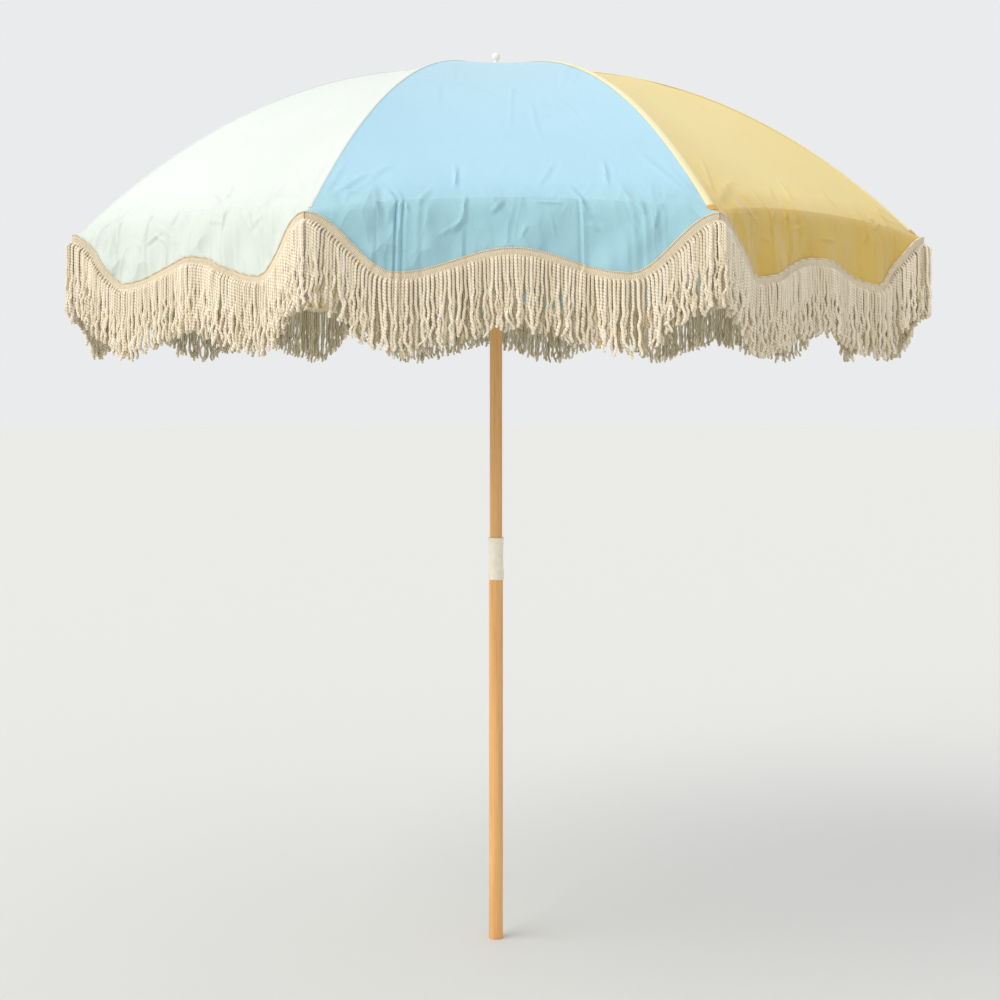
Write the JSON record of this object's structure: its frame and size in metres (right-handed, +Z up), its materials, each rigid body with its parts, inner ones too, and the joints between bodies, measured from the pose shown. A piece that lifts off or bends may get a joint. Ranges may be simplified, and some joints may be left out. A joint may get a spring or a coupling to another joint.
{
  "type": "beach umbrella",
  "caption": "Folding beach umbrella: a domed, fringed fabric canopy on hinged ribs and stretchers, with a sliding runner on a two-section wooden pole.",
  "frame": {"origin": "centre of the flat foot of the pole", "axes": "+Z up along the pole; -Y towards the front panel, between two ribs"},
  "size_m": [1.8454, 1.8454, 2.147],
  "materials": {
    "pole_wood": "straight-grained wood with a clear satin varnish",
    "coupling_plastic": "moulded ivory plastic with a soft gloss",
    "hub_plastic": "moulded white plastic",
    "zinc_steel": "zinc-plated steel",
    "tip_plastic": "moulded dark plastic",
    "cloth_blue": "woven light blue canvas",
    "cloth_white": "woven off-white canvas",
    "cloth_yellow": "woven straw yellow canvas",
    "fringe_cotton": "undyed twisted cotton cord and braid"
  },
  "bodies": {
    "lower_pole": {"lower_pole": "pole_wood", "pole_coupling": "coupling_plastic"},
    "upper_pole": {"upper_pole": "pole_wood", "crown": "hub_plastic", "crown_wire": "zinc_steel", "top_washer": "hub_plastic", "finial": "hub_plastic"},
    "runner_catch": {"runner_catch": "zinc_steel"},
    "runner": {"runner": "hub_plastic", "runner_wire": "zinc_steel"},
    "rib_1": {"rib_1_inner": "zinc_steel", "canopy_panel_1": "cloth_blue"},
    "rib_1_outer": {"rib_1_outer": "zinc_steel", "rib_1_tip": "tip_plastic"},
    "stretcher_1": {"stretcher_1": "zinc_steel"},
    "valance_1": {"valance_fringe_1": "fringe_cotton"},
    "rib_2": {"rib_2_inner": "zinc_steel", "canopy_panel_2": "cloth_yellow"},
    "rib_2_outer": {"rib_2_outer": "zinc_steel", "rib_2_tip": "tip_plastic"},
    "stretcher_2": {"stretcher_2": "zinc_steel"},
    "valance_2": {"valance_fringe_2": "fringe_cotton"},
    "rib_3": {"rib_3_inner": "zinc_steel", "canopy_panel_3": "cloth_blue"},
    "rib_3_outer": {"rib_3_outer": "zinc_steel", "rib_3_tip": "tip_plastic"},
    "stretcher_3": {"stretcher_3": "zinc_steel"},
    "valance_3": {"valance_fringe_3": "fringe_cotton"},
    "rib_4": {"rib_4_inner": "zinc_steel", "canopy_panel_4": "cloth_white"},
    "rib_4_outer": {"rib_4_outer": "zinc_steel", "rib_4_tip": "tip_plastic"},
    "stretcher_4": {"stretcher_4": "zinc_steel"},
    "valance_4": {"valance_fringe_4": "fringe_cotton"},
    "rib_5": {"rib_5_inner": "zinc_steel", "canopy_panel_5": "cloth_blue"},
    "rib_5_outer": {"rib_5_outer": "zinc_steel", "rib_5_tip": "tip_plastic"},
    "stretcher_5": {"stretcher_5": "zinc_steel"},
    "valance_5": {"valance_fringe_5": "fringe_cotton"},
    "rib_6": {"rib_6_inner": "zinc_steel", "canopy_panel_6": "cloth_yellow"},
    "rib_6_outer": {"rib_6_outer": "zinc_steel", "rib_6_tip": "tip_plastic"},
    "stretcher_6": {"stretcher_6": "zinc_steel"},
    "valance_6": {"valance_fringe_6": "fringe_cotton"},
    "rib_7": {"rib_7_inner": "zinc_steel", "canopy_panel_7": "cloth_blue"},
    "rib_7_outer": {"rib_7_outer": "zinc_steel", "rib_7_tip": "tip_plastic"},
    "stretcher_7": {"stretcher_7": "zinc_steel"},
    "valance_7": {"valance_fringe_7": "fringe_cotton"},
    "rib_8": {"rib_8_inner": "zinc_steel", "canopy_panel_8": "cloth_white"},
    "rib_8_outer": {"rib_8_outer": "zinc_steel", "rib_8_tip": "tip_plastic"},
    "stretcher_8": {"stretcher_8": "zinc_steel"},
    "valance_8": {"valance_fringe_8": "fringe_cotton"}
  },
  "joints": [
    {"name": "pole_lift", "type": "slide", "parent": "lower_pole", "child": "upper_pole", "axis": [0, 0, 1], "range_m": [0, 0.06]},
    {"name": "catch_press", "type": "slide", "parent": "upper_pole", "child": "runner_catch", "axis": [-1, 0, 0], "range_m": [0, 0.005], "stiffness_N_per_m": 400},
    {"name": "rib_1_fold", "type": "hinge", "parent": "upper_pole", "child": "rib_1", "pos_m": [-0.00918, -0.02217, 2.09443], "axis": [0.9239, -0.3827, 0], "range_deg": [0, 75.5], "deforming": ["canopy_panel_1"]},
    {"name": "rib_1_flex", "type": "hinge", "parent": "rib_1", "child": "rib_1_outer", "pos_m": [-0.19247, -0.46465, 2.00796], "axis": [0.9239, -0.3827, 0], "range_deg": [-19, 0]},
    {"name": "stretcher_1_turn", "type": "hinge", "parent": "rib_1", "child": "stretcher_1", "pos_m": [-0.18146, -0.43807, 2.0074], "axis": [0.9239, -0.3827, 0], "range_deg": [-151, 0]},
    {"name": "valance_1_hang", "type": "hinge", "parent": "rib_1_outer", "child": "valance_1", "pos_m": [-0.37737, -0.91104, 1.67323], "axis": [0.9239, -0.3827, 0], "range_deg": [-56.5, 0], "deforming": ["valance_fringe_1"]},
    {"name": "rib_2_fold", "type": "hinge", "parent": "upper_pole", "child": "rib_2", "pos_m": [0.00918, -0.02217, 2.09443], "axis": [0.9239, 0.3827, 0], "range_deg": [0, 75.5], "deforming": ["canopy_panel_2"]},
    {"name": "rib_2_flex", "type": "hinge", "parent": "rib_2", "child": "rib_2_outer", "pos_m": [0.19247, -0.46465, 2.00796], "axis": [0.9239, 0.3827, 0], "range_deg": [-19, 0]},
    {"name": "stretcher_2_turn", "type": "hinge", "parent": "rib_2", "child": "stretcher_2", "pos_m": [0.18146, -0.43807, 2.0074], "axis": [0.9239, 0.3827, 0], "range_deg": [-151, 0]},
    {"name": "valance_2_hang", "type": "hinge", "parent": "rib_2_outer", "child": "valance_2", "pos_m": [0.37737, -0.91104, 1.67323], "axis": [0.9239, 0.3827, 0], "range_deg": [-56.5, 0], "deforming": ["valance_fringe_2"]},
    {"name": "rib_3_fold", "type": "hinge", "parent": "upper_pole", "child": "rib_3", "pos_m": [0.02217, -0.00918, 2.09443], "axis": [0.3827, 0.9239, 0], "range_deg": [0, 75.5], "deforming": ["canopy_panel_3"]},
    {"name": "rib_3_flex", "type": "hinge", "parent": "rib_3", "child": "rib_3_outer", "pos_m": [0.46465, -0.19247, 2.00796], "axis": [0.3827, 0.9239, 0], "range_deg": [-19, 0]},
    {"name": "stretcher_3_turn", "type": "hinge", "parent": "rib_3", "child": "stretcher_3", "pos_m": [0.43807, -0.18146, 2.0074], "axis": [0.3827, 0.9239, 0], "range_deg": [-151, 0]},
    {"name": "valance_3_hang", "type": "hinge", "parent": "rib_3_outer", "child": "valance_3", "pos_m": [0.91104, -0.37737, 1.67323], "axis": [0.3827, 0.9239, 0], "range_deg": [-56.5, 0], "deforming": ["valance_fringe_3"]},
    {"name": "rib_4_fold", "type": "hinge", "parent": "upper_pole", "child": "rib_4", "pos_m": [0.02217, 0.00918, 2.09443], "axis": [-0.3827, 0.9239, 0], "range_deg": [0, 75.5], "deforming": ["canopy_panel_4"]},
    {"name": "rib_4_flex", "type": "hinge", "parent": "rib_4", "child": "rib_4_outer", "pos_m": [0.46465, 0.19247, 2.00796], "axis": [-0.3827, 0.9239, 0], "range_deg": [-19, 0]},
    {"name": "stretcher_4_turn", "type": "hinge", "parent": "rib_4", "child": "stretcher_4", "pos_m": [0.43807, 0.18146, 2.0074], "axis": [-0.3827, 0.9239, 0], "range_deg": [-151, 0]},
    {"name": "valance_4_hang", "type": "hinge", "parent": "rib_4_outer", "child": "valance_4", "pos_m": [0.91104, 0.37737, 1.67323], "axis": [-0.3827, 0.9239, 0], "range_deg": [-56.5, 0], "deforming": ["valance_fringe_4"]},
    {"name": "rib_5_fold", "type": "hinge", "parent": "upper_pole", "child": "rib_5", "pos_m": [0.00918, 0.02217, 2.09443], "axis": [-0.9239, 0.3827, 0], "range_deg": [0, 75.5], "deforming": ["canopy_panel_5"]},
    {"name": "rib_5_flex", "type": "hinge", "parent": "rib_5", "child": "rib_5_outer", "pos_m": [0.19247, 0.46465, 2.00796], "axis": [-0.9239, 0.3827, 0], "range_deg": [-19, 0]},
    {"name": "stretcher_5_turn", "type": "hinge", "parent": "rib_5", "child": "stretcher_5", "pos_m": [0.18146, 0.43807, 2.0074], "axis": [-0.9239, 0.3827, 0], "range_deg": [-151, 0]},
    {"name": "valance_5_hang", "type": "hinge", "parent": "rib_5_outer", "child": "valance_5", "pos_m": [0.37737, 0.91104, 1.67323], "axis": [-0.9239, 0.3827, 0], "range_deg": [-56.5, 0], "deforming": ["valance_fringe_5"]},
    {"name": "rib_6_fold", "type": "hinge", "parent": "upper_pole", "child": "rib_6", "pos_m": [-0.00918, 0.02217, 2.09443], "axis": [-0.9239, -0.3827, 0], "range_deg": [0, 75.5], "deforming": ["canopy_panel_6"]},
    {"name": "rib_6_flex", "type": "hinge", "parent": "rib_6", "child": "rib_6_outer", "pos_m": [-0.19247, 0.46465, 2.00796], "axis": [-0.9239, -0.3827, 0], "range_deg": [-19, 0]},
    {"name": "stretcher_6_turn", "type": "hinge", "parent": "rib_6", "child": "stretcher_6", "pos_m": [-0.18146, 0.43807, 2.0074], "axis": [-0.9239, -0.3827, 0], "range_deg": [-151, 0]},
    {"name": "valance_6_hang", "type": "hinge", "parent": "rib_6_outer", "child": "valance_6", "pos_m": [-0.37737, 0.91104, 1.67323], "axis": [-0.9239, -0.3827, 0], "range_deg": [-56.5, 0], "deforming": ["valance_fringe_6"]},
    {"name": "rib_7_fold", "type": "hinge", "parent": "upper_pole", "child": "rib_7", "pos_m": [-0.02217, 0.00918, 2.09443], "axis": [-0.3827, -0.9239, 0], "range_deg": [0, 75.5], "deforming": ["canopy_panel_7"]},
    {"name": "rib_7_flex", "type": "hinge", "parent": "rib_7", "child": "rib_7_outer", "pos_m": [-0.46465, 0.19247, 2.00796], "axis": [-0.3827, -0.9239, 0], "range_deg": [-19, 0]},
    {"name": "stretcher_7_turn", "type": "hinge", "parent": "rib_7", "child": "stretcher_7", "pos_m": [-0.43807, 0.18146, 2.0074], "axis": [-0.3827, -0.9239, 0], "range_deg": [-151, 0]},
    {"name": "valance_7_hang", "type": "hinge", "parent": "rib_7_outer", "child": "valance_7", "pos_m": [-0.91104, 0.37737, 1.67323], "axis": [-0.3827, -0.9239, 0], "range_deg": [-56.5, 0], "deforming": ["valance_fringe_7"]},
    {"name": "rib_8_fold", "type": "hinge", "parent": "upper_pole", "child": "rib_8", "pos_m": [-0.02217, -0.00918, 2.09443], "axis": [0.3827, -0.9239, 0], "range_deg": [0, 75.5], "deforming": ["canopy_panel_8"]},
    {"name": "rib_8_flex", "type": "hinge", "parent": "rib_8", "child": "rib_8_outer", "pos_m": [-0.46465, -0.19247, 2.00796], "axis": [0.3827, -0.9239, 0], "range_deg": [-19, 0]},
    {"name": "stretcher_8_turn", "type": "hinge", "parent": "rib_8", "child": "stretcher_8", "pos_m": [-0.43807, -0.18146, 2.0074], "axis": [0.3827, -0.9239, 0], "range_deg": [-151, 0]},
    {"name": "valance_8_hang", "type": "hinge", "parent": "rib_8_outer", "child": "valance_8", "pos_m": [-0.91104, -0.37737, 1.67323], "axis": [0.3827, -0.9239, 0], "range_deg": [-56.5, 0], "deforming": ["valance_fringe_8"]},
    {"name": "runner_upright", "type": "hinge", "parent": "stretcher_1", "child": "runner", "pos_m": [-0.00918, -0.02217, 1.92037], "axis": [0.9239, -0.3827, 0], "range_deg": [0, 75.5]}
  ],
  "couplings": [
    {"joint": "rib_1_flex", "follows": "rib_1_fold", "ratio": -0.25166},
    {"joint": "stretcher_1_turn", "follows": "rib_1_fold", "ratio": -2},
    {"joint": "valance_1_hang", "follows": "rib_1_fold", "ratio": -0.74834},
    {"joint": "rib_2_fold", "follows": "rib_1_fold", "ratio": 1},
    {"joint": "rib_2_flex", "follows": "rib_1_fold", "ratio": -0.25166},
    {"joint": "stretcher_2_turn", "follows": "rib_1_fold", "ratio": -2},
    {"joint": "valance_2_hang", "follows": "rib_1_fold", "ratio": -0.74834},
    {"joint": "rib_3_fold", "follows": "rib_1_fold", "ratio": 1},
    {"joint": "rib_3_flex", "follows": "rib_1_fold", "ratio": -0.25166},
    {"joint": "stretcher_3_turn", "follows": "rib_1_fold", "ratio": -2},
    {"joint": "valance_3_hang", "follows": "rib_1_fold", "ratio": -0.74834},
    {"joint": "rib_4_fold", "follows": "rib_1_fold", "ratio": 1},
    {"joint": "rib_4_flex", "follows": "rib_1_fold", "ratio": -0.25166},
    {"joint": "stretcher_4_turn", "follows": "rib_1_fold", "ratio": -2},
    {"joint": "valance_4_hang", "follows": "rib_1_fold", "ratio": -0.74834},
    {"joint": "rib_5_fold", "follows": "rib_1_fold", "ratio": 1},
    {"joint": "rib_5_flex", "follows": "rib_1_fold", "ratio": -0.25166},
    {"joint": "stretcher_5_turn", "follows": "rib_1_fold", "ratio": -2},
    {"joint": "valance_5_hang", "follows": "rib_1_fold", "ratio": -0.74834},
    {"joint": "rib_6_fold", "follows": "rib_1_fold", "ratio": 1},
    {"joint": "rib_6_flex", "follows": "rib_1_fold", "ratio": -0.25166},
    {"joint": "stretcher_6_turn", "follows": "rib_1_fold", "ratio": -2},
    {"joint": "valance_6_hang", "follows": "rib_1_fold", "ratio": -0.74834},
    {"joint": "rib_7_fold", "follows": "rib_1_fold", "ratio": 1},
    {"joint": "rib_7_flex", "follows": "rib_1_fold", "ratio": -0.25166},
    {"joint": "stretcher_7_turn", "follows": "rib_1_fold", "ratio": -2},
    {"joint": "valance_7_hang", "follows": "rib_1_fold", "ratio": -0.74834},
    {"joint": "rib_8_fold", "follows": "rib_1_fold", "ratio": 1},
    {"joint": "rib_8_flex", "follows": "rib_1_fold", "ratio": -0.25166},
    {"joint": "stretcher_8_turn", "follows": "rib_1_fold", "ratio": -2},
    {"joint": "valance_8_hang", "follows": "rib_1_fold", "ratio": -0.74834},
    {"joint": "runner_upright", "follows": "rib_1_fold", "ratio": 1}
  ]
}
